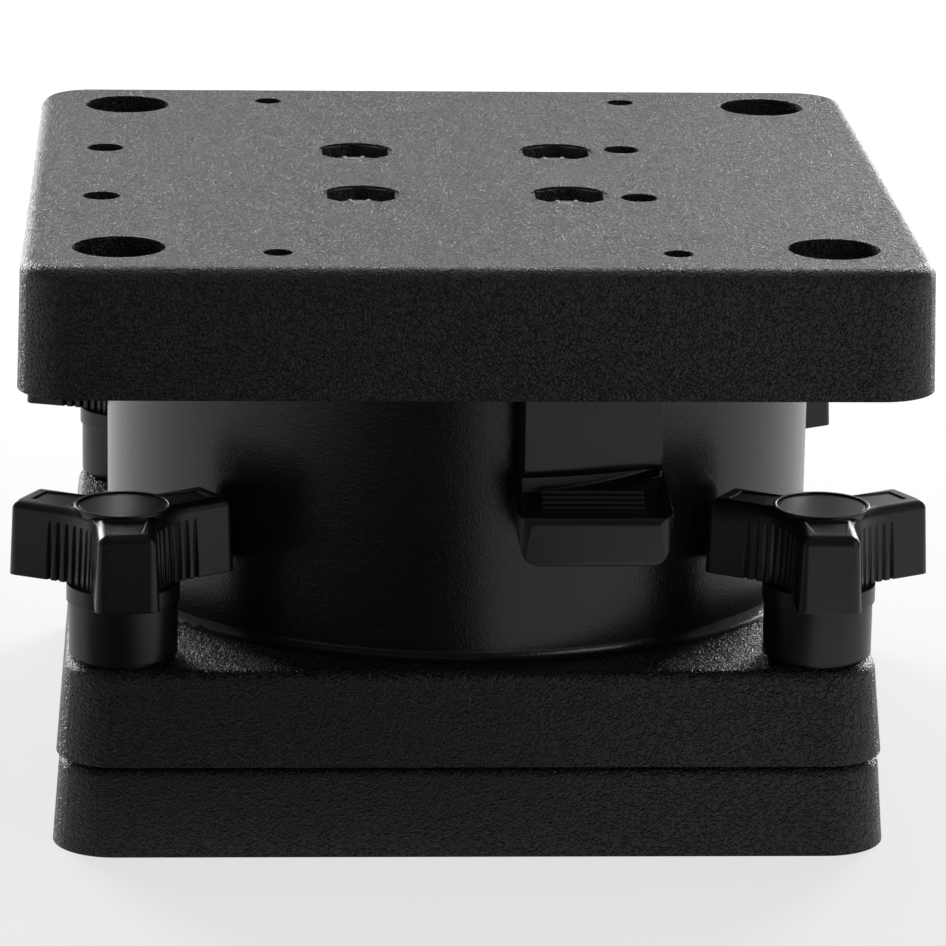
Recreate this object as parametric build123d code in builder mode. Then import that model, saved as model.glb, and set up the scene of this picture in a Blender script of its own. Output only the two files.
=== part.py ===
from build123d import *
import os
from math import cos, radians, sin, sqrt, tan

# Accessory swivel mount: a top plate that turns on a drum, a base plate held by four knobs,
# and a deck plate that stays screwed down. Millimetres, origin under the middle of the deck
# plate, +Z up, front towards -Y.

# Plates: widths across the lower edge
deck_width = 174.0
deck_height = 18.7
base_width = 172.4
base_height = 20.0
top_width = 187.0
top_height = 27.0
plate_gap = 60.0
deck_draft = 4.6
base_draft = 5.6
top_draft = 1.6
plate_corner = 13.0
top_corner = 12.0
plate_edge = 2.2
top_edge = 3.0
plate_wall = 4.0
plate_roof = 4.8

# Raised seat on the deck plate, which leaves a shadow line under the base plate
land_height = 0.6
land_inset = 3.0

# Waffle ribs under the deck plate
waffle_cells = 8
waffle_rib = 2.4
deck_screw_radius = 3.2
deck_screw_head_radius = 6.4
deck_screw_boss_radius = 9.0

# Drum, bearing and hub
drum_radius = 76.5
drum_wall = 5.0
drum_roof = 6.0
drum_cover = 4.7
drum_foot_fillet = 2.0
drum_rim_chamfer = 0.8
bearing_radius = 50.0
bearing_clearance = 0.08
wear_ring_thickness = 1.5
wear_ring_width = 15.0
wear_clearance = 0.05
hub_rise = 2.0
hub_flange_radius = 66.0
hub_flange_thickness = 8.0
hub_core_radius = 16.0
hub_relief_depth = 4.0
hub_relief_width = 10.0

# Three-eighths hardware
thread_radius = 4.76
hole_clearance = 0.3
running_clearance = 0.08
hex_flats = 14.29
hex_clearance = 0.15
bolt_head_height = 5.9
head_chamfer_radius = 6.9
head_chamfer_angle = 60.0
bolt_square = 44.4
bolt_pocket_depth = 8.7
bolt_counterbore_radius = 8.5
bolt_counterbore_depth = 0.4
bolt_tail = 2.0
washer_radius = 10.5
washer_thickness = 1.6
nut_height = 8.0

# Holes in the top plate
corner_hole_square = 146.0
corner_hole_radius = 9.525
edge_hole_x = 81.4
edge_hole_y = 155.2
edge_hole_radius = 3.05
side_hole_x = 114.2
side_hole_y = 49.5
side_hole_offset = -20.15
side_hole_radius = 3.97
hole_boss_wall = 3.0

# Ribs under the top plate
rib_thickness = 2.6
rib_depth = 10.5
ring_wall = 4.0
centre_ring_radius = 46.0
bolt_boss_radius = 12.5
bearing_ring_inner = 58.0
bearing_ring_wall = 6.0
corner_tube_gap = 1.7

# Index ring that the lever locks into
index_count = 12
index_inner = 77.4
index_wall = 2.8
index_bottom_gap = 1.9
tooth_width = 9.6
tooth_bottom_gap = 3.7
tooth_height = 4.5
tooth_tip_radius = 78.0
tooth_clearance = 0.4
tooth_head_clearance = 0.9

# Lever: a rocker on a pin in front of the drum
lever_azimuth = -73.9
lever_pin_reach = 80.4
lever_pin_drop = 11.3
lever_pin_radius = 2.0
lever_pin_length = 19.8
lug_width = 10.0
lug_nose_radius = 2.9
cheek_gap = 0.4
cheek_width = 4.5
cheek_nose_radius = 3.2
arm_outer = 87.6
arm_wall = 3.8
arm_width = 30.0
arm_top_gap = 1.0
tongue_inner = 80.8
tongue_wall = 3.2
tongue_width = 15.0
tongue_start = 3.5
tongue_top_gap = 9.2

# Thumb pad at the lever's foot
paddle_x = 23.5
paddle_width = 32.2
paddle_foot_width = 29.4
paddle_front = 97.5
paddle_bottom_drop = 34.0
lip_height = 10.3
lip_corner = 5.0
lip_edge = 1.8
lip_plan_corner = 4.0
lip_lean = 0.8
wall_slope = 12.4
pad_slope = 20.0
pad_wall = 1.8
pad_depth = 1.8
pad_back_radius = 85.0
brow_drop = 18.3
brow_round = 2.4
pad_rib_count = 6
pad_rib_pitch = 1.7
pad_rib_width = 0.9
pad_rib_height = 1.3
pad_rib_length = 21.0
pad_rib_lead = 1.2

# Leaf spring behind the lever
leaf_thickness = 0.8
leaf_width = 12.0
leaf_span = 14.0
leaf_centre_drop = 24.5
leaf_seat_gap = 0.15
leaf_crest_gap = 0.4

# Hand knobs
knob_square = 144.5
knob_lift = 1.0
knob_washer_radius = 10.0
knob_hub_radius = 11.3
knob_hub_height = 11.4
knob_collar_radius = 11.75
knob_collar_height = 3.7
lobe_count = 3
lobe_reach = 23.8
front_left_turn = -87.0
front_right_turn = -91.0
back_left_turn = -78.0
back_right_turn = -60.0
lobe_width = 13.2
lobe_height = 15.9
lobe_draft = 2.5
lobe_edge = 2.0
lobe_tip_edge = 2.0
lobe_root_radius = 15.0
groove_count = 10
groove_spread = 70.0
groove_side = 0.9
groove_sink = 0.3
groove_height = 12.4
medal_radius = 10.0
medal_rise = 0.6
cap_radius = 9.3
cap_thickness = 1.6
cap_sink = 0.3
cap_edge = 0.3
lobe_panel_start = 10.6
lobe_panel_end = 19.6
lobe_panel_wide = 9.0
lobe_panel_narrow = 6.2
lobe_panel_depth = 0.3

# Brass inserts in the deck plate
insert_radius = 7.5
insert_length = 14.0
insert_groove_depth = 0.7
insert_groove_width = 3.0
stud_end_gap = 2.0

# Heights worked out from the sizes above
deck_seat = deck_height + land_height
base_top = deck_seat + base_height
skirt_bottom = base_top + plate_gap
plate_top = skirt_bottom + top_height
top_inside = plate_top - plate_roof
drum_top = skirt_bottom + drum_cover
drum_roof_under = drum_top - drum_roof
upper_face = drum_top + wear_ring_thickness + wear_clearance
hub_top = drum_top + hub_rise
flange_top = drum_roof_under - wear_ring_thickness - wear_clearance
flange_bottom = flange_top - hub_flange_thickness
head_seat = plate_top - bolt_pocket_depth
nut_top = flange_bottom - washer_thickness
nut_bottom = nut_top - nut_height
rib_bottom = top_inside - rib_depth
index_bottom = skirt_bottom + index_bottom_gap
tooth_bottom = skirt_bottom + tooth_bottom_gap
tooth_top = tooth_bottom + tooth_height
pin_height = skirt_bottom - lever_pin_drop
paddle_bottom = skirt_bottom - paddle_bottom_drop
lip_top = paddle_bottom + lip_height
brow = skirt_bottom - brow_drop
knob_seat = base_top + knob_lift
collar_bottom = knob_seat + knob_hub_height
lobe_bottom = collar_bottom + knob_collar_height
lobe_top = lobe_bottom + lobe_height
medal_top = lobe_top + medal_rise
cap_seat = medal_top - cap_sink - cap_thickness
stud_head_seat = cap_seat - bolt_head_height
insert_bottom = deck_seat - insert_length

# Radii and angles worked out from the sizes above
hex_radius = hex_flats / sqrt(3)
hex_pocket_radius = (hex_flats + 2 * hex_clearance) / sqrt(3)
bolt_hole_radius = thread_radius + hole_clearance
index_outer = index_inner + index_wall
arm_inner = arm_outer - arm_wall
deck_inside = deck_width - 2 * plate_wall
waffle_pitch = deck_inside / waffle_cells
deck_screw_x = 6 * waffle_pitch
deck_screw_y = 4 * waffle_pitch
root_centre = (lobe_width / 2 + lobe_root_radius) / sin(radians(180 / lobe_count))
lever_out = (cos(radians(lever_azimuth)), sin(radians(lever_azimuth)), 0)
lever_across = (sin(radians(lever_azimuth)), -cos(radians(lever_azimuth)), 0)
lever_side = Plane(origin=(0, 0, 0), x_dir=lever_out, z_dir=lever_across)
knob_corners = {
    "front_left": (-knob_square / 2, -knob_square / 2, front_left_turn),
    "front_right": (knob_square / 2, -knob_square / 2, front_right_turn),
    "back_left": (-knob_square / 2, knob_square / 2, back_left_turn),
    "back_right": (knob_square / 2, knob_square / 2, back_right_turn),
}

os.makedirs("parts", exist_ok=True)

# Deck plate: drafted block with a raised seat, waffle ribs below, bores for the inserts
with BuildPart() as deck_plate:
    with BuildSketch(Plane.XY):
        RectangleRounded(deck_width, deck_width, plate_corner)
    extrude(amount=deck_height, taper=deck_draft)
    fillet(deck_plate.faces().sort_by(Axis.Z)[-1].edges(), plate_edge)
    land_width = deck_width - 2 * (deck_height * tan(radians(deck_draft)) + land_inset)
    with BuildSketch(Plane.XY.offset(deck_height)):
        RectangleRounded(land_width, land_width, plate_corner - land_inset)
    extrude(amount=land_height)
    with BuildSketch(Plane.XY):
        with GridLocations(waffle_pitch, waffle_pitch, waffle_cells, waffle_cells):
            Rectangle(waffle_pitch - waffle_rib, waffle_pitch - waffle_rib)
        with GridLocations(deck_inside - waffle_pitch, deck_inside - waffle_pitch, 2, 2):
            Rectangle(waffle_pitch, waffle_pitch, mode=Mode.SUBTRACT)
        with GridLocations(deck_screw_x, deck_screw_y, 2, 2):
            Circle(deck_screw_boss_radius, mode=Mode.SUBTRACT)
    extrude(amount=deck_height - plate_roof, mode=Mode.SUBTRACT)
    with Locations((0, 0, deck_seat)):
        with GridLocations(deck_screw_x, deck_screw_y, 2, 2):
            CounterSinkHole(deck_screw_radius, deck_screw_head_radius)
        with GridLocations(knob_square, knob_square, 2, 2):
            Hole(insert_radius, depth=insert_length)
deck_plate.part.label = "deck_plate"
export_step(deck_plate.part, "parts/deck_plate.step")

# Threaded brass inserts: grooved sleeves flush with the seat
with BuildPart() as deck_inserts:
    with BuildSketch(Plane.XY.offset(insert_bottom)):
        with GridLocations(knob_square, knob_square, 2, 2):
            Circle(insert_radius)
            Circle(thread_radius + running_clearance, mode=Mode.SUBTRACT)
    extrude(amount=insert_length)
    with BuildSketch(Plane.XY.offset(insert_bottom + (insert_length - insert_groove_width) / 2)):
        with GridLocations(knob_square, knob_square, 2, 2):
            Circle(insert_radius)
        with GridLocations(knob_square, knob_square, 2, 2):
            Circle(insert_radius - insert_groove_depth, mode=Mode.SUBTRACT)
    extrude(amount=insert_groove_width, mode=Mode.SUBTRACT)
deck_inserts.part.label = "deck_inserts"
export_step(deck_inserts.part, "parts/deck_inserts.step")

# Base plate and drum: one hollow moulding with knob bosses and the lever's lug
with BuildPart() as base_housing:
    with BuildSketch(Plane.XY.offset(deck_seat)):
        RectangleRounded(base_width, base_width, plate_corner)
    extrude(amount=base_height, taper=base_draft)
    fillet(base_housing.faces().sort_by(Axis.Z)[-1].edges(), plate_edge)
    with BuildSketch(Plane.XY.offset(base_top)):
        Circle(drum_radius)
    extrude(amount=drum_top - base_top)
    drum_foot = base_housing.edges().filter_by(GeomType.CIRCLE).filter_by(
        lambda edge: abs(edge.radius - drum_radius) < 1e-3 and abs(edge.center().Z - base_top) < 1e-3
    )
    fillet(drum_foot, drum_foot_fillet)
    chamfer(base_housing.faces().sort_by(Axis.Z)[-1].edges(), drum_rim_chamfer)
    with BuildSketch(Plane.XY.offset(deck_seat)):
        RectangleRounded(base_width - 2 * plate_wall, base_width - 2 * plate_wall, plate_corner - plate_wall)
        Circle(drum_radius, mode=Mode.SUBTRACT)
        with GridLocations(knob_square, knob_square, 2, 2):
            Circle(bolt_boss_radius, mode=Mode.SUBTRACT)
    extrude(amount=base_height - plate_roof, mode=Mode.SUBTRACT)
    with BuildSketch(Plane.XY.offset(deck_seat)):
        Circle(drum_radius - drum_wall)
    extrude(amount=drum_roof_under - deck_seat, mode=Mode.SUBTRACT)
    with BuildSketch(Plane.XY.offset(drum_roof_under)):
        Circle(bearing_radius)
    extrude(amount=drum_roof, mode=Mode.SUBTRACT)
    with BuildSketch(Plane.XY.offset(deck_seat)):
        with GridLocations(knob_square, knob_square, 2, 2):
            Circle(bolt_hole_radius)
    extrude(amount=base_height, mode=Mode.SUBTRACT)
    with BuildSketch(lever_side):
        with Locations((lever_pin_reach, pin_height)):
            Circle(lug_nose_radius)
            Rectangle(
                lever_pin_reach - drum_radius + drum_wall / 2,
                2 * lug_nose_radius,
                align=(Align.MAX, Align.CENTER),
            )
    extrude(amount=lug_width / 2, both=True)
    with BuildSketch(lever_side):
        with Locations((lever_pin_reach, pin_height)):
            Circle(lever_pin_radius)
    extrude(amount=lug_width, both=True, mode=Mode.SUBTRACT)
base_housing.part.label = "base_housing"
export_step(base_housing.part, "parts/base_housing.step")

# Slip rings above and below the drum's roof
with BuildPart() as upper_wear_ring:
    with BuildSketch(Plane.XY.offset(drum_top)):
        Circle(bearing_radius + wear_ring_width)
        Circle(bearing_radius + hole_clearance, mode=Mode.SUBTRACT)
    extrude(amount=wear_ring_thickness)
upper_wear_ring.part.label = "upper_wear_ring"
export_step(upper_wear_ring.part, "parts/upper_wear_ring.step")

with BuildPart() as lower_wear_ring:
    with BuildSketch(Plane.XY.offset(drum_roof_under)):
        Circle(bearing_radius + wear_ring_width)
        Circle(bearing_radius + hole_clearance, mode=Mode.SUBTRACT)
    extrude(amount=-wear_ring_thickness)
lower_wear_ring.part.label = "lower_wear_ring"
export_step(lower_wear_ring.part, "parts/lower_wear_ring.step")

# Top plate: drafted skirt, roof, ring ribs, bolt bosses, notched index ring, holes
with BuildPart() as top_plate:
    with BuildSketch(Plane.XY.offset(skirt_bottom)):
        RectangleRounded(top_width, top_width, top_corner)
    extrude(amount=top_height, taper=top_draft)
    fillet(top_plate.faces().sort_by(Axis.Z)[-1].edges(), top_edge)
    with BuildSketch(Plane.XY.offset(skirt_bottom)):
        RectangleRounded(top_width - 2 * plate_wall, top_width - 2 * plate_wall, top_corner - plate_wall)
    extrude(amount=top_height - plate_roof, taper=top_draft, mode=Mode.SUBTRACT)
    top_inside_half = top_width / 2 - plate_wall
    with BuildSketch(Plane.XY.offset(rib_bottom)):
        with PolarLocations((centre_ring_radius + top_inside_half) / 2, 4):
            Rectangle(top_inside_half - centre_ring_radius + ring_wall, rib_thickness)
        corner_reach = corner_hole_square / sqrt(2) - corner_hole_radius - hole_boss_wall / 2
        with PolarLocations((centre_ring_radius + corner_reach) / 2, 4, start_angle=45):
            Rectangle(corner_reach - centre_ring_radius + ring_wall, rib_thickness)
        with GridLocations(edge_hole_x, edge_hole_y, 2, 2):
            Circle(edge_hole_radius + hole_boss_wall)
        with Locations((side_hole_offset, 0)):
            with GridLocations(side_hole_x, side_hole_y, 2, 2):
                Circle(side_hole_radius + hole_boss_wall)
    extrude(amount=rib_depth + plate_roof / 2)
    with BuildSketch(Plane.XY.offset(skirt_bottom + corner_tube_gap)):
        with GridLocations(corner_hole_square, corner_hole_square, 2, 2):
            Circle(corner_hole_radius + hole_boss_wall)
    extrude(amount=top_height - plate_roof / 2 - corner_tube_gap)
    with BuildSketch(Plane.XY.offset(hub_top)):
        Circle(centre_ring_radius)
        Circle(centre_ring_radius - ring_wall, mode=Mode.SUBTRACT)
        with GridLocations(bolt_square, bolt_square, 2, 2):
            Circle(bolt_boss_radius)
        Rectangle(2 * centre_ring_radius - ring_wall, rib_thickness)
        Rectangle(rib_thickness, 2 * centre_ring_radius - ring_wall)
    extrude(amount=top_inside - hub_top + plate_roof / 2)
    with BuildSketch(Plane.XY.offset(upper_face)):
        Circle(bearing_ring_inner + bearing_ring_wall)
        Circle(bearing_ring_inner, mode=Mode.SUBTRACT)
    extrude(amount=top_inside - upper_face + plate_roof / 2)
    with BuildSketch(Plane.XY.offset(index_bottom)):
        Circle(index_outer)
        Circle(index_inner, mode=Mode.SUBTRACT)
    extrude(amount=top_inside - index_bottom + plate_roof / 2)
    with BuildSketch(Plane.XY.offset(index_bottom)):
        with PolarLocations(index_inner + index_wall / 2, index_count, start_angle=lever_azimuth):
            Rectangle(3 * index_wall, tooth_width + 2 * tooth_clearance)
    extrude(amount=tooth_top + tooth_head_clearance - index_bottom, mode=Mode.SUBTRACT)
    with Locations((0, 0, plate_top)):
        with GridLocations(corner_hole_square, corner_hole_square, 2, 2):
            Hole(corner_hole_radius)
        with GridLocations(edge_hole_x, edge_hole_y, 2, 2):
            Hole(edge_hole_radius)
        with GridLocations(bolt_square, bolt_square, 2, 2):
            Hole(bolt_hole_radius)
    with Locations((side_hole_offset, 0, plate_top)):
        with GridLocations(side_hole_x, side_hole_y, 2, 2):
            Hole(side_hole_radius)
    with BuildSketch(Plane.XY.offset(plate_top)):
        with GridLocations(bolt_square, bolt_square, 2, 2):
            RegularPolygon(hex_pocket_radius, 6, rotation=30)
    extrude(amount=-bolt_pocket_depth, mode=Mode.SUBTRACT)
    with BuildSketch(Plane.XY.offset(plate_top)):
        with GridLocations(bolt_square, bolt_square, 2, 2):
            Circle(bolt_counterbore_radius)
    extrude(amount=-bolt_counterbore_depth, mode=Mode.SUBTRACT)
top_plate.part.label = "top_plate"
export_step(top_plate.part, "parts/top_plate.step")

# Hub: flange under the drum's roof, boss through its bearing bore
with BuildPart() as swivel_hub:
    with BuildSketch(Plane.XY.offset(flange_bottom)):
        Circle(hub_flange_radius)
    extrude(amount=hub_flange_thickness)
    with BuildSketch(Plane.XY.offset(flange_top)):
        Circle(bearing_radius - bearing_clearance)
    extrude(amount=hub_top - flange_top)
    with BuildSketch(Plane.XY.offset(flange_bottom)):
        Circle(hub_core_radius)
        with GridLocations(bolt_square, bolt_square, 2, 2):
            Circle(bolt_hole_radius)
    extrude(amount=hub_top - flange_bottom, mode=Mode.SUBTRACT)
    with BuildSketch(Plane.XY.offset(flange_bottom)):
        Circle(bearing_radius + hub_relief_width)
        Circle(bearing_radius, mode=Mode.SUBTRACT)
    extrude(amount=hub_relief_depth, mode=Mode.SUBTRACT)
swivel_hub.part.label = "swivel_hub"
export_step(swivel_hub.part, "parts/swivel_hub.step")

# Hex bolts, washers and lock nuts that pull the hub up to the top plate
with BuildPart() as plate_bolts:
    with BuildSketch(Plane.XY.offset(head_seat)):
        with GridLocations(bolt_square, bolt_square, 2, 2):
            RegularPolygon(hex_radius, 6, rotation=30)
    extrude(amount=bolt_head_height)
    with BuildSketch(Plane.XY.offset(head_seat + bolt_head_height)):
        with GridLocations(bolt_square, bolt_square, 2, 2):
            Circle(head_chamfer_radius)
    extrude(amount=-bolt_head_height, taper=-head_chamfer_angle, mode=Mode.INTERSECT)
    with BuildSketch(Plane.XY.offset(nut_bottom - bolt_tail)):
        with GridLocations(bolt_square, bolt_square, 2, 2):
            Circle(thread_radius)
    extrude(amount=head_seat - nut_bottom + bolt_tail)
plate_bolts.part.label = "plate_bolts"
export_step(plate_bolts.part, "parts/plate_bolts.step")

with BuildPart() as bolt_washers:
    with BuildSketch(Plane.XY.offset(nut_top)):
        with GridLocations(bolt_square, bolt_square, 2, 2):
            Circle(washer_radius)
        with GridLocations(bolt_square, bolt_square, 2, 2):
            Circle(bolt_hole_radius, mode=Mode.SUBTRACT)
    extrude(amount=washer_thickness)
bolt_washers.part.label = "bolt_washers"
export_step(bolt_washers.part, "parts/bolt_washers.step")

with BuildPart() as lock_nuts:
    with BuildSketch(Plane.XY.offset(nut_bottom)):
        with GridLocations(bolt_square, bolt_square, 2, 2):
            RegularPolygon(hex_radius, 6, rotation=30)
        with GridLocations(bolt_square, bolt_square, 2, 2):
            Circle(thread_radius, mode=Mode.SUBTRACT)
    extrude(amount=nut_height)
lock_nuts.part.label = "lock_nuts"
export_step(lock_nuts.part, "parts/lock_nuts.step")

# Hollow of the thumb pad: a slanted floor whose back follows the drum
lip_back = paddle_front - pad_wall
pad_rise = tan(radians(pad_slope))
wall_rise = tan(radians(wall_slope))
pad_floor = lip_top - pad_depth
with BuildPart() as pad_hollow:
    with BuildSketch(Plane.YZ.offset(paddle_x)):
        with BuildLine():
            Polyline(
                (-lip_back, pad_floor),
                (-lip_back + (brow - pad_floor) / pad_rise, brow),
                (-lip_back, brow),
                close=True,
            )
        make_face()
    extrude(amount=paddle_width / 2 - pad_wall, both=True)
    with BuildSketch(Plane.XY.offset(paddle_bottom)):
        Circle(pad_back_radius)
    extrude(amount=skirt_bottom - paddle_bottom, mode=Mode.SUBTRACT)

# Lever: foot with thumb pad, curved arm, pivot cheeks, tongue with the locking tooth
with BuildPart() as release_lever:
    foot_back = drum_radius - drum_wall
    foot_crown = lip_top + (paddle_front - foot_back) * wall_rise
    with BuildSketch(Plane.XZ) as foot_front:
        with BuildLine():
            Polyline(
                (paddle_x - arm_width / 2, foot_crown),
                (paddle_x - paddle_width / 2, lip_top),
                (paddle_x - paddle_foot_width / 2, paddle_bottom),
                (paddle_x + paddle_foot_width / 2, paddle_bottom),
                (paddle_x + paddle_width / 2, lip_top),
                (paddle_x + arm_width / 2, foot_crown),
                close=True,
            )
        make_face()
        fillet(foot_front.vertices().group_by(Axis.Y)[0], lip_corner)
    extrude(amount=paddle_front)
    with BuildSketch(Plane.YZ.offset(paddle_x)) as foot_side:
        with BuildLine():
            Polyline(
                (-foot_back, paddle_bottom),
                (-paddle_front + lip_lean, paddle_bottom),
                (-paddle_front, lip_top),
                (-foot_back, foot_crown),
                close=True,
            )
        make_face()
        fillet(foot_side.vertices().group_by(Axis.X)[0], lip_edge)
        fillet(foot_side.vertices().group_by(Axis.Y)[0].sort_by(Axis.X)[0], lip_edge)
    extrude(amount=paddle_width, both=True, mode=Mode.INTERSECT)
    with BuildSketch(Plane.XY.offset(paddle_bottom)) as foot_plan:
        with Locations((paddle_x, -paddle_front)):
            Rectangle(paddle_width, paddle_front - foot_back, align=(Align.CENTER, Align.MIN))
        fillet(foot_plan.vertices().group_by(Axis.Y)[0], lip_plan_corner)
    extrude(amount=foot_crown - paddle_bottom, mode=Mode.INTERSECT)
    with BuildSketch(Plane.XY.offset(lip_top - lip_corner)):
        Circle(arm_outer)
        with PolarLocations(arm_outer, 1, start_angle=lever_azimuth):
            Rectangle(arm_outer, arm_width, mode=Mode.INTERSECT)
    extrude(amount=skirt_bottom - arm_top_gap - lip_top + lip_corner)
    with BuildSketch(Plane.XY.offset(paddle_bottom)):
        Circle(arm_inner)
    extrude(amount=skirt_bottom - paddle_bottom, mode=Mode.SUBTRACT)
    add(pad_hollow.part, mode=Mode.SUBTRACT)
    with BuildSketch(Plane.XZ):
        with Locations((arm_outer - brow_round, brow)):
            Rectangle(2 * brow_round, brow_round, align=(Align.MIN, Align.MIN))
        with Locations((arm_outer - brow_round, brow + brow_round)):
            Circle(brow_round, mode=Mode.SUBTRACT)
    revolve(axis=Axis.Z, mode=Mode.SUBTRACT)
    with BuildSketch(Plane.YZ.offset(paddle_x)):
        for rib in range(pad_rib_count):
            rib_y = -lip_back + pad_rib_lead + rib * pad_rib_pitch
            rib_floor = pad_floor + (rib_y + lip_back) * pad_rise
            Polygon(
                (rib_y - pad_rib_width / 2, rib_floor - pad_rib_width),
                (rib_y + pad_rib_width / 2, rib_floor - pad_rib_width),
                (rib_y + pad_rib_width / 4, rib_floor + pad_rib_height),
                (rib_y - pad_rib_width / 4, rib_floor + pad_rib_height),
                align=None,
            )
    extrude(amount=pad_rib_length / 2, both=True)
    with BuildSketch(Plane.XY.offset(pin_height + tongue_start)):
        Circle(tongue_inner + tongue_wall)
        Circle(tongue_inner, mode=Mode.SUBTRACT)
        with PolarLocations(tongue_inner, 1, start_angle=lever_azimuth):
            Rectangle(tongue_inner, tongue_width, mode=Mode.INTERSECT)
    extrude(amount=skirt_bottom + tongue_top_gap - pin_height - tongue_start)
    with BuildSketch(Plane.XY.offset(tooth_bottom)):
        with PolarLocations(tooth_tip_radius, 1, start_angle=lever_azimuth):
            Rectangle(
                tongue_inner + tongue_wall / 2 - tooth_tip_radius,
                tooth_width,
                align=(Align.MIN, Align.CENTER),
            )
    extrude(amount=tooth_height)
    for side in (-1, 1):
        with BuildSketch(lever_side.offset(side * (lug_width / 2 + cheek_gap + cheek_width / 2))):
            with Locations((lever_pin_reach, pin_height)):
                Circle(cheek_nose_radius)
                Rectangle(
                    arm_inner + arm_wall / 2 - lever_pin_reach,
                    2 * cheek_nose_radius,
                    align=(Align.MIN, Align.CENTER),
                )
        extrude(amount=cheek_width / 2, both=True)
    with BuildSketch(lever_side):
        with Locations((lever_pin_reach, pin_height)):
            Circle(lever_pin_radius + running_clearance)
    extrude(amount=lever_pin_length / 2, both=True, mode=Mode.SUBTRACT)
release_lever.part.label = "release_lever"
export_step(release_lever.part, "parts/release_lever.step")

# Pivot pin, pressed into the drum's lug
with BuildPart() as lever_pin:
    with BuildSketch(lever_side):
        with Locations((lever_pin_reach, pin_height)):
            Circle(lever_pin_radius)
    extrude(amount=lever_pin_length / 2, both=True)
lever_pin.part.label = "lever_pin"
export_step(lever_pin.part, "parts/lever_pin.step")

# Bowed leaf spring between the drum and the lever's foot
with BuildPart() as lever_spring:
    leaf_low = skirt_bottom - leaf_centre_drop
    leaf_foot = drum_radius + leaf_seat_gap
    leaf_crest = arm_inner - leaf_crest_gap
    with BuildSketch(lever_side):
        with BuildLine():
            ThreePointArc(
                (leaf_foot, leaf_low - leaf_span / 2),
                (leaf_crest - leaf_thickness, leaf_low),
                (leaf_foot, leaf_low + leaf_span / 2),
            )
            Line(
                (leaf_foot, leaf_low + leaf_span / 2),
                (leaf_foot + leaf_thickness, leaf_low + leaf_span / 2),
            )
            ThreePointArc(
                (leaf_foot + leaf_thickness, leaf_low + leaf_span / 2),
                (leaf_crest, leaf_low),
                (leaf_foot + leaf_thickness, leaf_low - leaf_span / 2),
            )
            Line(
                (leaf_foot + leaf_thickness, leaf_low - leaf_span / 2),
                (leaf_foot, leaf_low - leaf_span / 2),
            )
        make_face()
    extrude(amount=leaf_width / 2, both=True)
lever_spring.part.label = "lever_spring"
export_step(lever_spring.part, "parts/lever_spring.step")

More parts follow.
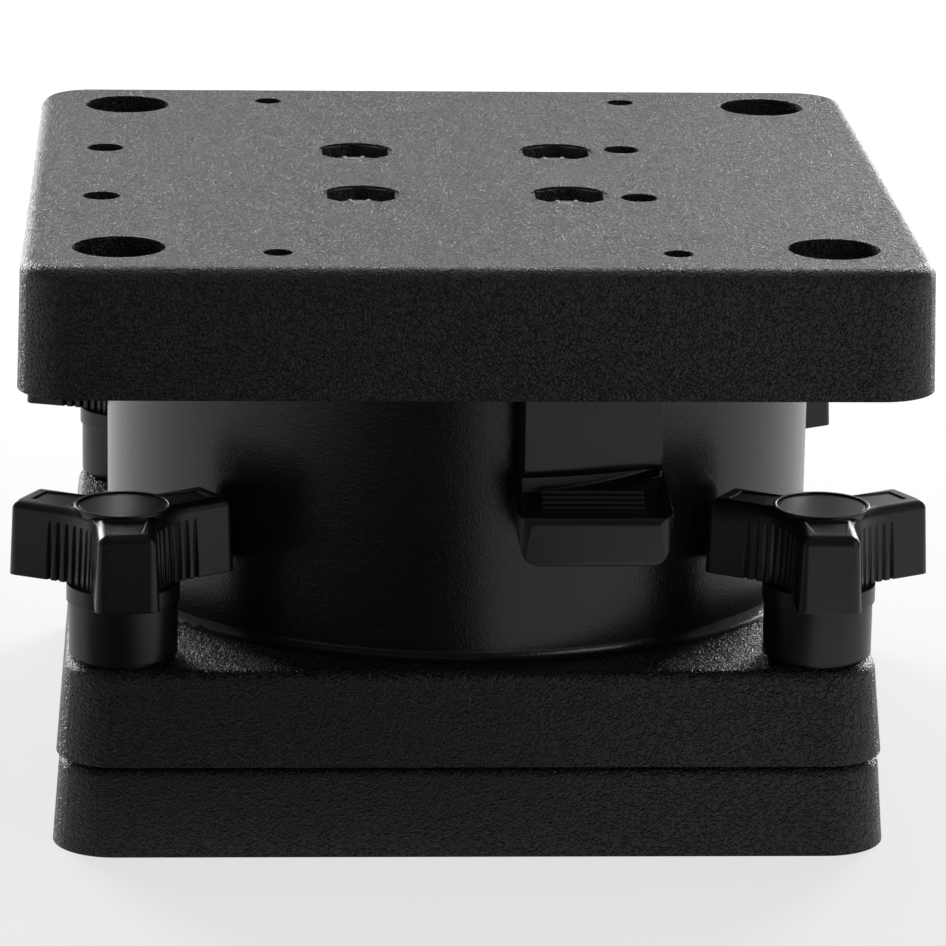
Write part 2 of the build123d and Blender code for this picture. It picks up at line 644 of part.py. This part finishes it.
# Hand knobs: washer, three-lobed body, hex stud and round cap at each corner
for corner, (knob_x, knob_y, lobe_angle) in knob_corners.items():
    stand = Plane(origin=(knob_x, knob_y, 0))

    with BuildPart() as knob_washer:
        with BuildSketch(stand.offset(base_top)):
            Circle(knob_washer_radius)
            Circle(thread_radius + hole_clearance, mode=Mode.SUBTRACT)
        extrude(amount=knob_lift)
    knob_washer.part.label = "knob_washer_" + corner
    export_step(knob_washer.part, "parts/knob_washer_" + corner + ".step")

    with BuildPart() as knob:
        with BuildSketch(stand.offset(lobe_bottom)) as lobes:
            with PolarLocations(0, lobe_count, start_angle=lobe_angle):
                Rectangle(lobe_reach, lobe_width, align=(Align.MIN, Align.CENTER))
            fillet(lobes.vertices().sort_by_distance((0, 0, 0))[:lobe_count], lobe_root_radius)
            fillet(lobes.vertices().sort_by_distance((0, 0, 0))[-2 * lobe_count :], lobe_tip_edge)
        extrude(amount=lobe_height, taper=lobe_draft)
        fillet(knob.faces().sort_by(Axis.Z)[-1].edges(), lobe_edge)
        with BuildSketch(stand.offset(lobe_bottom)):
            with PolarLocations(root_centre, lobe_count, start_angle=lobe_angle + 180 / lobe_count):
                with PolarLocations(
                    lobe_root_radius + groove_sink,
                    groove_count,
                    start_angle=180 - groove_spread / 2,
                    angular_range=groove_spread,
                    endpoint=True,
                ):
                    Rectangle(groove_side, groove_side, rotation=45)
        extrude(amount=groove_height, mode=Mode.SUBTRACT)
        with BuildSketch(stand.offset(lobe_top)):
            with PolarLocations(0, lobe_count, start_angle=lobe_angle):
                Polygon(
                    (lobe_panel_start, -lobe_panel_wide / 2),
                    (lobe_panel_end, -lobe_panel_narrow / 2),
                    (lobe_panel_end, lobe_panel_narrow / 2),
                    (lobe_panel_start, lobe_panel_wide / 2),
                    align=None,
                )
        extrude(amount=-lobe_panel_depth, mode=Mode.SUBTRACT)
        with BuildSketch(stand.offset(collar_bottom)):
            Circle(knob_collar_radius)
        extrude(amount=knob_collar_height)
        with BuildSketch(stand.offset(knob_seat)):
            Circle(knob_hub_radius)
        extrude(amount=knob_hub_height)
        with BuildSketch(stand.offset(lobe_top)):
            Circle(medal_radius)
        extrude(amount=medal_rise)
        with BuildSketch(stand.offset(cap_seat)):
            Circle(cap_radius)
        extrude(amount=medal_top - cap_seat, mode=Mode.SUBTRACT)
        with BuildSketch(stand.offset(stud_head_seat)):
            RegularPolygon(hex_radius, 6)
        extrude(amount=bolt_head_height, mode=Mode.SUBTRACT)
        with BuildSketch(stand.offset(knob_seat)):
            Circle(thread_radius)
        extrude(amount=stud_head_seat - knob_seat, mode=Mode.SUBTRACT)
    knob.part.label = "knob_" + corner
    export_step(knob.part, "parts/knob_" + corner + ".step")

    with BuildPart() as knob_stud:
        with BuildSketch(stand.offset(stud_head_seat)):
            RegularPolygon(hex_radius, 6)
        extrude(amount=bolt_head_height)
        with BuildSketch(stand.offset(insert_bottom + stud_end_gap)):
            Circle(thread_radius)
        extrude(amount=stud_head_seat - insert_bottom - stud_end_gap)
    knob_stud.part.label = "knob_stud_" + corner
    export_step(knob_stud.part, "parts/knob_stud_" + corner + ".step")

    with BuildPart() as knob_cap:
        with BuildSketch(stand.offset(cap_seat)):
            Circle(cap_radius)
        extrude(amount=cap_thickness)
        chamfer(knob_cap.faces().sort_by(Axis.Z)[-1].edges(), cap_edge)
    knob_cap.part.label = "knob_cap_" + corner
    export_step(knob_cap.part, "parts/knob_cap_" + corner + ".step")
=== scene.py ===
from math import cos, pi, radians, sin

import bmesh
import bpy
from bpy.props import FloatProperty, FloatVectorProperty, IntProperty, PointerProperty
from mathutils import Matrix, Vector


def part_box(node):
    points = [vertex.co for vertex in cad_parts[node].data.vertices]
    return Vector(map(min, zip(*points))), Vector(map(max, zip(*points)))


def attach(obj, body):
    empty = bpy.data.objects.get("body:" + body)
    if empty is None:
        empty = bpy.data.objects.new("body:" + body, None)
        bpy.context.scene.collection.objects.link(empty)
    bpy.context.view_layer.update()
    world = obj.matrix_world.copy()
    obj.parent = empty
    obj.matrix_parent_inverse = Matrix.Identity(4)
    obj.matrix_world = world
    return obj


bl_info = {
    "name": "Deck swivel mount",
    "version": (1, 0, 0),
    "blender": (4, 5, 0),
    "location": "View3D > Sidebar > Swivel Mount",
    "description": "Finishes and small details for a deck swivel mount, with a plain studio",
    "category": "Object",
}

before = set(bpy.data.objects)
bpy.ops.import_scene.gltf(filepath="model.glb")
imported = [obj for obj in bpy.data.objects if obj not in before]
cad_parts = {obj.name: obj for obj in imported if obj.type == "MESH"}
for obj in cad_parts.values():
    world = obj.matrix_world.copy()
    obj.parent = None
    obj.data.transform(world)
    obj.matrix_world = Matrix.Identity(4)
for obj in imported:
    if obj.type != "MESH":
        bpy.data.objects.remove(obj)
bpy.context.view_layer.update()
corner_names = ("front_left", "front_right", "back_left", "back_right")

# Sizes of the hex heads in the frame, in metres
head_flats = 0.01429
head_height = 0.0059

# Share of the light that the mouldings mirror, and of the grain that the drum keeps
plate_shine = 0.4
moulding_shine = 0.4
drum_grain = 0.015
drum_blend = 0.0008

# Lamps: name, place, width, height and the setting that holds the power
lamp_aim = (0, 0, 0.08)
lamps = (
    ("top_lamp", (0.0, 0.5, 1.2), 1.2, 1.2, "top_power"),
    ("back_lamp", (0.0, 1.2, 0.7), 1.8, 0.7, "back_power"),
    ("left_lamp", (-0.6, 1.0, 0.3), 0.35, 0.9, "side_power"),
    ("right_lamp", (0.6, 1.0, 0.3), 0.35, 0.9, "side_power"),
    ("fill_lamp", (0.8, -0.9, 0.6), 0.5, 0.5, "fill_power"),
)

# Dark card on the floor in front, seen only in gloss, which paints dark reflections on the front
# faces: left, right, near, far and height
card_edges = (-0.3, 0.02, -1.3, -0.1, 0.0005)
floor_half = 4.0


class SwivelMountFinishes(bpy.types.PropertyGroup):
    """Colours and surface sizes of the mouldings and the metal"""

    composite_colour: FloatVectorProperty(
        name="Composite",
        description="Colour of the grained plates",
        subtype="COLOR",
        default=(0.0055, 0.0055, 0.0058),
        min=0,
        max=1,
    )
    composite_roughness: FloatProperty(
        name="Composite roughness",
        description="Roughness of the grained plates",
        subtype="FACTOR",
        default=0.34,
        min=0,
        max=1,
    )
    grain_size: FloatProperty(
        name="Grain size",
        description="Width of one pebble of the leather grain",
        subtype="DISTANCE",
        unit="LENGTH",
        default=0.0009,
        min=0.0002,
    )
    grain_depth: FloatProperty(
        name="Grain depth",
        description="Depth of the leather grain",
        subtype="DISTANCE",
        unit="LENGTH",
        default=0.0008,
        min=0,
    )
    satin_colour: FloatVectorProperty(
        name="Satin moulding",
        description="Colour of the knobs and the lever",
        subtype="COLOR",
        default=(0.0045, 0.0045, 0.0047),
        min=0,
        max=1,
    )
    satin_roughness: FloatProperty(
        name="Satin roughness",
        description="Roughness of the knobs and the lever",
        subtype="FACTOR",
        default=0.32,
        min=0,
        max=1,
    )
    drum_roughness: FloatProperty(
        name="Drum roughness",
        description="Roughness of the drum's wall",
        subtype="FACTOR",
        default=0.25,
        min=0,
        max=1,
    )
    drum_reach: FloatProperty(
        name="Drum reach",
        description="Radius, with the foot's rounding, inside which the moulding is smooth",
        subtype="DISTANCE",
        unit="LENGTH",
        default=0.0785,
        min=0.01,
    )
    edge_round: FloatProperty(
        name="Moulded edge",
        description="Rounding of the moulded edges",
        subtype="DISTANCE",
        unit="LENGTH",
        default=0.0004,
        min=0,
    )
    ring_colour: FloatVectorProperty(
        name="Slip ring",
        description="Colour of the slip rings",
        subtype="COLOR",
        default=(0.80, 0.79, 0.74),
        min=0,
        max=1,
    )
    steel_colour: FloatVectorProperty(
        name="Stainless steel",
        description="Colour of bolts, nuts, washers and studs",
        subtype="COLOR",
        default=(0.72, 0.72, 0.73),
        min=0,
        max=1,
    )
    spring_colour: FloatVectorProperty(
        name="Spring steel",
        description="Colour of the leaf spring",
        subtype="COLOR",
        default=(0.42, 0.42, 0.44),
        min=0,
        max=1,
    )
    brass_colour: FloatVectorProperty(
        name="Brass",
        description="Colour of the threaded inserts",
        subtype="COLOR",
        default=(0.72, 0.53, 0.25),
        min=0,
        max=1,
    )
    thread_pitch: FloatProperty(
        name="Thread pitch",
        description="Pitch of the three-eighths threads",
        subtype="DISTANCE",
        unit="LENGTH",
        default=0.0015875,
        min=0.0005,
    )


class SwivelMountDetails(bpy.types.PropertyGroup):
    """Raised marks on the hex heads"""

    mark_count: IntProperty(
        name="Marks",
        description="Raised bars on each hex head",
        default=8,
        min=0,
    )
    mark_length: FloatProperty(
        name="Mark length",
        description="Length of one raised bar",
        subtype="DISTANCE",
        unit="LENGTH",
        default=0.0017,
        min=0.0005,
    )
    mark_width: FloatProperty(
        name="Mark width",
        description="Width of one raised bar",
        subtype="DISTANCE",
        unit="LENGTH",
        default=0.0011,
        min=0.0002,
    )
    mark_height: FloatProperty(
        name="Mark height",
        description="Height of one raised bar",
        subtype="DISTANCE",
        unit="LENGTH",
        default=0.0012,
        min=0.0001,
    )
    mark_reach: FloatProperty(
        name="Mark reach",
        description="Distance of each bar from the middle of the head",
        subtype="DISTANCE",
        unit="LENGTH",
        default=0.005,
        min=0.001,
    )


class SwivelMountStudio(bpy.types.PropertyGroup):
    """Camera, lamps and floor"""

    camera_place: FloatVectorProperty(
        name="Camera",
        description="Place of the camera",
        subtype="TRANSLATION",
        unit="LENGTH",
        default=(-0.0582, -1.1323, 0.3696),
    )
    camera_aim: FloatVectorProperty(
        name="Aim",
        description="Direction that the camera looks in",
        subtype="DIRECTION",
        default=(0.0527, 0.9630, -0.2644),
    )
    camera_up: FloatVectorProperty(
        name="Up",
        description="Direction of the top of the picture",
        subtype="DIRECTION",
        default=(-0.0014, 0.2648, 0.9643),
    )
    lens: FloatProperty(
        name="Lens",
        description="Focal length in millimetres on a 36 mm sensor",
        default=203.1,
        min=10,
    )
    world_level: FloatProperty(
        name="Room light",
        description="Light of the white room on dull surfaces",
        default=0.12,
        min=0,
    )
    front_level: FloatProperty(
        name="Front of the room",
        description="How white the front of the room looks in gloss",
        default=0.06,
        min=0,
        max=1,
    )
    back_level: FloatProperty(
        name="Back of the room",
        description="How white the back of the room looks in gloss",
        default=0.4,
        min=0,
        max=1,
    )
    top_power: FloatProperty(
        name="Top lamp",
        description="Power of the soft lamp overhead",
        unit="POWER",
        default=4.0,
        min=0,
    )
    back_power: FloatProperty(
        name="Back lamp",
        description="Power of the wide lamp behind the mount",
        unit="POWER",
        default=3.0,
        min=0,
    )
    side_power: FloatProperty(
        name="Side lamps",
        description="Power of each tall lamp at the sides",
        unit="POWER",
        default=12.0,
        min=0,
    )
    fill_power: FloatProperty(
        name="Fill lamp",
        description="Power of the small lamp in front on the right",
        unit="POWER",
        default=2.4,
        min=0,
    )
    floor_shade: FloatProperty(
        name="Floor shadow",
        description="Share of the floor's white that the object's shadow takes away",
        subtype="FACTOR",
        default=0.3,
        min=0,
        max=1,
    )


def finishes():
    return bpy.context.scene.swivel_mount_finishes


def blank_material(name):
    material = bpy.data.materials.new(name)
    material.use_nodes = True
    tree = material.node_tree
    tree.nodes.clear()
    shader = tree.nodes.new("ShaderNodeBsdfPrincipled")
    out = tree.nodes.new("ShaderNodeOutputMaterial")
    tree.links.new(shader.outputs["BSDF"], out.inputs["Surface"])
    return material, tree, shader


def place_in_part(tree):
    return tree.nodes.new("ShaderNodeTexCoord").outputs["Object"]


def worked_out(tree, operation, first, second):
    node = tree.nodes.new("ShaderNodeMath")
    node.operation = operation
    for socket, value in zip(node.inputs, (first, second)):
        if isinstance(value, (int, float)):
            socket.default_value = value
        else:
            tree.links.new(value, socket)
    return node.outputs["Value"]


def mottle(tree, place, size, detail=3.0):
    node = tree.nodes.new("ShaderNodeTexNoise")
    node.inputs["Scale"].default_value = 1 / size
    node.inputs["Detail"].default_value = detail
    tree.links.new(place, node.inputs["Vector"])
    return node


def between(tree, value, low, high):
    node = tree.nodes.new("ShaderNodeMapRange")
    node.inputs["To Min"].default_value = low
    node.inputs["To Max"].default_value = high
    tree.links.new(value, node.inputs["Value"])
    return node.outputs["Result"]


def shades(tree, value, colour, spread):
    node = tree.nodes.new("ShaderNodeMix")
    node.data_type = "RGBA"
    node.inputs["A"].default_value = (*[c * (1 - spread) for c in colour], 1)
    node.inputs["B"].default_value = (*[c * (1 + spread) for c in colour], 1)
    tree.links.new(value, node.inputs["Factor"])
    return node.outputs["Result"]


def rounded_edges(tree, radius):
    node = tree.nodes.new("ShaderNodeBevel")
    node.samples = 6
    node.inputs["Radius"].default_value = radius
    return node.outputs["Normal"]


def relief(tree, shader, height, depth, strength=1.0, normal=None):
    node = tree.nodes.new("ShaderNodeBump")
    node.inputs["Strength"].default_value = strength
    node.inputs["Distance"].default_value = depth
    tree.links.new(height, node.inputs["Height"])
    if normal is not None:
        tree.links.new(normal, node.inputs["Normal"])
    tree.links.new(node.outputs["Normal"], shader.inputs["Normal"])


def leather_grain(tree, place, size):
    wander = mottle(tree, place, 1.35 * size, 1.0)
    centred = worked_out(tree, "SUBTRACT", wander.outputs["Fac"], 0.5)
    fold = worked_out(tree, "ABSOLUTE", centred, 0.0)
    ridge = tree.nodes.new("ShaderNodeMapRange")
    ridge.interpolation_type = "SMOOTHSTEP"
    ridge.inputs["From Max"].default_value = 0.075
    ridge.inputs["To Min"].default_value = 1.0
    ridge.inputs["To Max"].default_value = 0.0
    tree.links.new(fold, ridge.inputs["Value"])
    pits = mottle(tree, place, 0.5 * size, 2.0)
    pitting = worked_out(tree, "MULTIPLY", pits.outputs["Fac"], 0.5)
    return worked_out(tree, "ADD", pitting, ridge.outputs["Result"])


def grained_composite(name, smooth_radius=None):
    look = finishes()
    material, tree, shader = blank_material(name)
    place = place_in_part(tree)
    height = leather_grain(tree, place, look.grain_size)
    patches = mottle(tree, place, 0.03)
    rough = look.composite_roughness
    roughness = between(tree, patches.outputs["Fac"], rough - 0.05, rough + 0.07)
    if smooth_radius is not None:
        parts = tree.nodes.new("ShaderNodeSeparateXYZ")
        tree.links.new(place, parts.inputs["Vector"])
        flat = tree.nodes.new("ShaderNodeCombineXYZ")
        tree.links.new(parts.outputs["X"], flat.inputs["X"])
        tree.links.new(parts.outputs["Y"], flat.inputs["Y"])
        reach = tree.nodes.new("ShaderNodeVectorMath")
        reach.operation = "LENGTH"
        tree.links.new(flat.outputs["Vector"], reach.inputs[0])
        outside = tree.nodes.new("ShaderNodeMapRange")
        outside.inputs["From Min"].default_value = smooth_radius
        outside.inputs["From Max"].default_value = smooth_radius + drum_blend
        outside.inputs["To Min"].default_value = drum_grain
        tree.links.new(reach.outputs["Value"], outside.inputs["Value"])
        height = worked_out(tree, "MULTIPLY", height, outside.outputs["Result"])
        gloss = tree.nodes.new("ShaderNodeMix")
        gloss.inputs["A"].default_value = look.drum_roughness
        tree.links.new(outside.outputs["Result"], gloss.inputs["Factor"])
        tree.links.new(roughness, gloss.inputs["B"])
        roughness = gloss.outputs["Result"]
    colour = shades(tree, patches.outputs["Fac"], look.composite_colour, 0.25)
    tree.links.new(colour, shader.inputs["Base Color"])
    tree.links.new(roughness, shader.inputs["Roughness"])
    shader.inputs["Specular IOR Level"].default_value = plate_shine
    relief(tree, shader, height, look.grain_depth, 1.0, rounded_edges(tree, look.edge_round))
    return material


def satin_moulding(name, tone=1.0):
    look = finishes()
    material, tree, shader = blank_material(name)
    place = place_in_part(tree)
    patches = mottle(tree, place, 0.012)
    fine = mottle(tree, place, 0.0005, 2.0)
    colour = [c * tone for c in look.satin_colour]
    tree.links.new(shades(tree, patches.outputs["Fac"], colour, 0.2), shader.inputs["Base Color"])
    rough = look.satin_roughness
    roughness = between(tree, patches.outputs["Fac"], rough - 0.04, rough + 0.06)
    tree.links.new(roughness, shader.inputs["Roughness"])
    shader.inputs["Specular IOR Level"].default_value = moulding_shine
    relief(tree, shader, fine.outputs["Fac"], 0.00004, 0.35, rounded_edges(tree, look.edge_round))
    return material


def turned_metal(name, colour, rough, thread_top=None, metallic=1.0):
    look = finishes()
    material, tree, shader = blank_material(name)
    place = place_in_part(tree)
    stretch = tree.nodes.new("ShaderNodeMapping")
    stretch.inputs["Scale"].default_value = (1.0, 0.12, 1.0)
    tree.links.new(place, stretch.inputs["Vector"])
    brushing = mottle(tree, stretch.outputs["Vector"], 0.0004, 4.0)
    shader.inputs["Metallic"].default_value = metallic
    tree.links.new(shades(tree, brushing.outputs["Fac"], colour, 0.12), shader.inputs["Base Color"])
    roughness = between(tree, brushing.outputs["Fac"], rough - 0.06, rough + 0.08)
    tree.links.new(roughness, shader.inputs["Roughness"])
    height = worked_out(tree, "MULTIPLY", brushing.outputs["Fac"], 0.04)
    if thread_top is not None:
        parts = tree.nodes.new("ShaderNodeSeparateXYZ")
        tree.links.new(place, parts.inputs["Vector"])
        turns = worked_out(tree, "MULTIPLY", parts.outputs["Z"], 2 * pi / look.thread_pitch)
        crest = worked_out(tree, "SINE", turns, 0.0)
        below = worked_out(tree, "LESS_THAN", parts.outputs["Z"], thread_top)
        thread = worked_out(tree, "MULTIPLY", crest, below)
        height = worked_out(tree, "ADD", height, thread)
    relief(tree, shader, height, 0.0004, 0.7, rounded_edges(tree, look.edge_round / 2))
    return material


def slip_plastic(name):
    look = finishes()
    material, tree, shader = blank_material(name)
    place = place_in_part(tree)
    patches = mottle(tree, place, 0.008)
    colour = shades(tree, patches.outputs["Fac"], look.ring_colour, 0.05)
    tree.links.new(colour, shader.inputs["Base Color"])
    tree.links.new(between(tree, patches.outputs["Fac"], 0.42, 0.55), shader.inputs["Roughness"])
    relief(tree, shader, mottle(tree, place, 0.0006).outputs["Fac"], 0.00003, 0.4)
    return material


def dress(material, *names):
    for name in names:
        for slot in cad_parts[name].material_slots:
            slot.material = material


class GrainPlates(bpy.types.Operator):
    """Give the three plates their leather grain, and the drum its smoother wall"""

    bl_idname = "swivel_mount.grain_plates"
    bl_label = "Grain the plates"

    def execute(self, context):
        dress(grained_composite("leather_grain_composite"), "top_plate", "deck_plate")
        drum = finishes().drum_reach
        dress(grained_composite("leather_grain_plate_smooth_drum", drum), "base_housing")
        return {"FINISHED"}


class FinishMouldings(bpy.types.Operator):
    """Give the knobs, their discs and the lever a satin moulded finish"""

    bl_idname = "swivel_mount.finish_mouldings"
    bl_label = "Finish knobs and lever"

    def execute(self, context):
        dress(satin_moulding("satin_knob"), *["knob_" + corner for corner in corner_names])
        dress(satin_moulding("satin_disc", 1.25), *["knob_cap_" + corner for corner in corner_names])
        dress(satin_moulding("black_nylon"), *["knob_washer_" + corner for corner in corner_names])
        dress(satin_moulding("satin_lever"), "release_lever")
        return {"FINISHED"}


class FinishBearing(bpy.types.Operator):
    """Finish the hub and the white slip rings inside the drum"""

    bl_idname = "swivel_mount.finish_bearing"
    bl_label = "Finish the bearing"

    def execute(self, context):
        dress(slip_plastic("white_slip_plastic"), "upper_wear_ring", "lower_wear_ring")
        dress(satin_moulding("plain_hub_composite", 2.0), "swivel_hub")
        return {"FINISHED"}


class FinishHardware(bpy.types.Operator):
    """Finish bolts, nuts, washers, studs, pin, spring and inserts"""

    bl_idname = "swivel_mount.finish_hardware"
    bl_label = "Finish the hardware"

    def execute(self, context):
        look = finishes()
        head_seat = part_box("plate_bolts")[1][2] - head_height
        dress(turned_metal("stainless_bolt", look.steel_colour, 0.6, head_seat, 0.35), "plate_bolts")
        plain = turned_metal("stainless_plain", look.steel_colour, 0.28)
        dress(plain, "bolt_washers", "lock_nuts", "lever_pin")
        stud_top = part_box("knob_stud_front_left")[1][2] - head_height
        studs = ["knob_stud_" + corner for corner in corner_names]
        dress(turned_metal("stainless_stud", look.steel_colour, 0.3, stud_top), *studs)
        dress(turned_metal("spring_strip", look.spring_colour, 0.34), "lever_spring")
        dress(turned_metal("turned_brass", look.brass_colour, 0.3), "deck_inserts")
        return {"FINISHED"}


class RaiseHeadMarks(bpy.types.Operator):
    """Raise plain radial bars on the hex heads"""

    bl_idname = "swivel_mount.raise_head_marks"
    bl_label = "Raise the head marks"

    def execute(self, context):
        size = context.scene.swivel_mount_details
        low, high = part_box("plate_bolts")
        reach = (high[0] - low[0] - head_flats) / 2
        mesh = bpy.data.meshes.new("bolt_head_marks")
        marks = bmesh.new()
        for x in (-reach, reach):
            for y in (-reach, reach):
                for turn in range(size.mark_count):
                    angle = radians(25 if x < 0 else 70) + turn * 2 * pi / size.mark_count
                    outward = Vector((cos(angle), sin(angle), 0)) * size.mark_reach
                    middle = Vector((x, y, high[2])) + outward
                    shape = Matrix.Diagonal((size.mark_length, size.mark_width, size.mark_height, 1))
                    bmesh.ops.create_cube(
                        marks,
                        size=1,
                        matrix=Matrix.Translation(middle) @ Matrix.Rotation(angle, 4, "Z") @ shape,
                    )
        marks.to_mesh(mesh)
        marks.free()
        piece = bpy.data.objects.new("bolt_head_marks", mesh)
        context.scene.collection.objects.link(piece)
        edges = piece.modifiers.new("soft_edges", "BEVEL")
        edges.width = size.mark_height / 3
        edges.segments = 2
        mesh.materials.append(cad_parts["plate_bolts"].material_slots[0].material)
        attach(piece, "swivel")
        return {"FINISHED"}


def white_where_seen(tree, dull, seen):
    path = tree.nodes.new("ShaderNodeLightPath")
    either = worked_out(tree, "MAXIMUM", path.outputs["Is Camera Ray"], path.outputs["Is Glossy Ray"])
    either = worked_out(tree, "MAXIMUM", either, path.outputs["Is Transmission Ray"])
    mix = tree.nodes.new("ShaderNodeMixShader")
    tree.links.new(either, mix.inputs["Fac"])
    tree.links.new(dull, mix.inputs[1])
    tree.links.new(seen, mix.inputs[2])
    return mix.outputs["Shader"]


class BuildStudio(bpy.types.Operator):
    """Set up the camera, the lamps, the white room, the pale floor and a dark card seen only in
    gloss, which paints dark reflections on the front faces
    """

    bl_idname = "swivel_mount.build_studio"
    bl_label = "Build the studio"

    def lamp(self, context, name, place, aim, width, height, power):
        data = bpy.data.lights.new(name, "AREA")
        data.shape = "RECTANGLE"
        data.size = width
        data.size_y = height
        data.energy = power
        lamp = bpy.data.objects.new(name, data)
        lamp.location = place
        lamp.rotation_euler = (Vector(aim) - Vector(place)).to_track_quat("-Z", "Y").to_euler()
        context.scene.collection.objects.link(lamp)

    def floor(self, context, shade):
        mesh = bpy.data.meshes.new("pale_floor")
        half = floor_half
        corners = [(-half, -half, 0), (half, -half, 0), (half, half, 0), (-half, half, 0)]
        mesh.from_pydata(corners, [], [(0, 1, 2, 3)])
        floor = bpy.data.objects.new("pale_floor", mesh)
        context.scene.collection.objects.link(floor)
        material = bpy.data.materials.new("pale_floor")
        material.use_nodes = True
        tree = material.node_tree
        tree.nodes.clear()
        dull = tree.nodes.new("ShaderNodeBsdfDiffuse")
        dull.inputs["Color"].default_value = (0.8, 0.8, 0.8, 1)
        shadow = tree.nodes.new("ShaderNodeBsdfDiffuse")
        shadow.inputs["Color"].default_value = (shade, shade, shade, 1)
        glow = tree.nodes.new("ShaderNodeEmission")
        glow.inputs["Strength"].default_value = 1 - shade
        seen = tree.nodes.new("ShaderNodeAddShader")
        tree.links.new(shadow.outputs["BSDF"], seen.inputs[0])
        tree.links.new(glow.outputs["Emission"], seen.inputs[1])
        out = tree.nodes.new("ShaderNodeOutputMaterial")
        surface = white_where_seen(tree, dull.outputs["BSDF"], seen.outputs["Shader"])
        tree.links.new(surface, out.inputs["Surface"])
        mesh.materials.append(material)

    # Dark card seen only in gloss: it casts no shadow and lights nothing, so it paints dark
    # reflections on the front faces
    def flag(self, context):
        mesh = bpy.data.meshes.new("front_flag")
        left, right, near, far, lift = card_edges
        outline = [(left, near, lift), (right, near, lift), (right, far, lift), (left, far, lift)]
        mesh.from_pydata(outline, [], [(0, 1, 2, 3)])
        flag = bpy.data.objects.new("front_flag", mesh)
        context.scene.collection.objects.link(flag)
        material, tree, shader = blank_material("black_flag_cloth")
        shader.inputs["Base Color"].default_value = (0.02, 0.02, 0.02, 1)
        shader.inputs["Roughness"].default_value = 0.9
        mesh.materials.append(material)
        # Hidden from camera, diffuse and shadow rays: a painted dark reflection, not a light-blocking
        # flag
        flag.visible_camera = False
        flag.visible_diffuse = False
        flag.visible_shadow = False

    def room(self, context, level, front, back):
        world = bpy.data.worlds.new("white_room")
        context.scene.world = world
        world.use_nodes = True
        tree = world.node_tree
        tree.nodes.clear()
        dull = tree.nodes.new("ShaderNodeBackground")
        dull.inputs["Strength"].default_value = level
        dull.inputs["Color"].default_value = (1, 1, 1, 1)
        seen = tree.nodes.new("ShaderNodeBackground")
        seen.inputs["Color"].default_value = (1, 1, 1, 1)
        toward = tree.nodes.new("ShaderNodeSeparateXYZ")
        place = tree.nodes.new("ShaderNodeTexCoord")
        tree.links.new(place.outputs["Generated"], toward.inputs["Vector"])
        behind = tree.nodes.new("ShaderNodeMapRange")
        behind.inputs["From Min"].default_value = -0.7
        behind.inputs["From Max"].default_value = 0.5
        behind.inputs["To Min"].default_value = front
        behind.inputs["To Max"].default_value = back
        tree.links.new(toward.outputs["Y"], behind.inputs["Value"])
        path = tree.nodes.new("ShaderNodeLightPath")
        white = worked_out(tree, "MAXIMUM", behind.outputs["Result"], path.outputs["Is Camera Ray"])
        tree.links.new(white, seen.inputs["Strength"])
        out = tree.nodes.new("ShaderNodeOutputWorld")
        surface = white_where_seen(tree, dull.outputs["Background"], seen.outputs["Background"])
        tree.links.new(surface, out.inputs["Surface"])

    def execute(self, context):
        studio = context.scene.swivel_mount_studio
        ahead = Vector(studio.camera_aim).normalized()
        right = ahead.cross(Vector(studio.camera_up)).normalized()
        up = right.cross(ahead)
        data = bpy.data.cameras.new("front_camera")
        data.sensor_width = 36
        data.lens = studio.lens
        camera = bpy.data.objects.new("front_camera", data)
        turn = Matrix((right, up, -ahead)).transposed().to_4x4()
        camera.matrix_world = Matrix.Translation(studio.camera_place) @ turn
        context.scene.collection.objects.link(camera)
        context.scene.camera = camera
        for name, place, width, height, power in lamps:
            self.lamp(context, name, place, lamp_aim, width, height, getattr(studio, power))
        self.floor(context, studio.floor_shade)
        self.room(context, studio.world_level, studio.front_level, studio.back_level)
        # Painted dark reflection: the card shows only in gloss on the front faces
        self.flag(context)
        context.scene.view_settings.view_transform = "Standard"
        return {"FINISHED"}


class SwivelMountPanel(bpy.types.Panel):
    """Sidebar panel with the sizes, colours and steps of the swivel mount"""

    bl_idname = "VIEW3D_PT_swivel_mount"
    bl_label = "Swivel Mount"
    bl_space_type = "VIEW_3D"
    bl_region_type = "UI"
    bl_category = "Swivel Mount"

    def draw(self, context):
        layout = self.layout
        for step in steps:
            layout.operator(step.bl_idname)
        for group in groups:
            settings = getattr(context.scene, groups[group])
            for name in group.__annotations__:
                layout.prop(settings, name)


groups = {
    SwivelMountFinishes: "swivel_mount_finishes",
    SwivelMountDetails: "swivel_mount_details",
    SwivelMountStudio: "swivel_mount_studio",
}
steps = (GrainPlates, FinishMouldings, FinishBearing, FinishHardware, RaiseHeadMarks, BuildStudio)


def register():
    for group, name in groups.items():
        bpy.utils.register_class(group)
        setattr(bpy.types.Scene, name, PointerProperty(type=group))
    for step in steps:
        bpy.utils.register_class(step)
    bpy.utils.register_class(SwivelMountPanel)


def unregister():
    bpy.utils.unregister_class(SwivelMountPanel)
    for step in reversed(steps):
        bpy.utils.unregister_class(step)
    for group, name in groups.items():
        delattr(bpy.types.Scene, name)
        bpy.utils.unregister_class(group)


def main():
    register()
    bpy.ops.swivel_mount.grain_plates()
    bpy.ops.swivel_mount.finish_mouldings()
    bpy.ops.swivel_mount.finish_bearing()
    bpy.ops.swivel_mount.finish_hardware()
    bpy.ops.swivel_mount.raise_head_marks()
    bpy.ops.swivel_mount.build_studio()


if __name__ == "__main__":
    main()
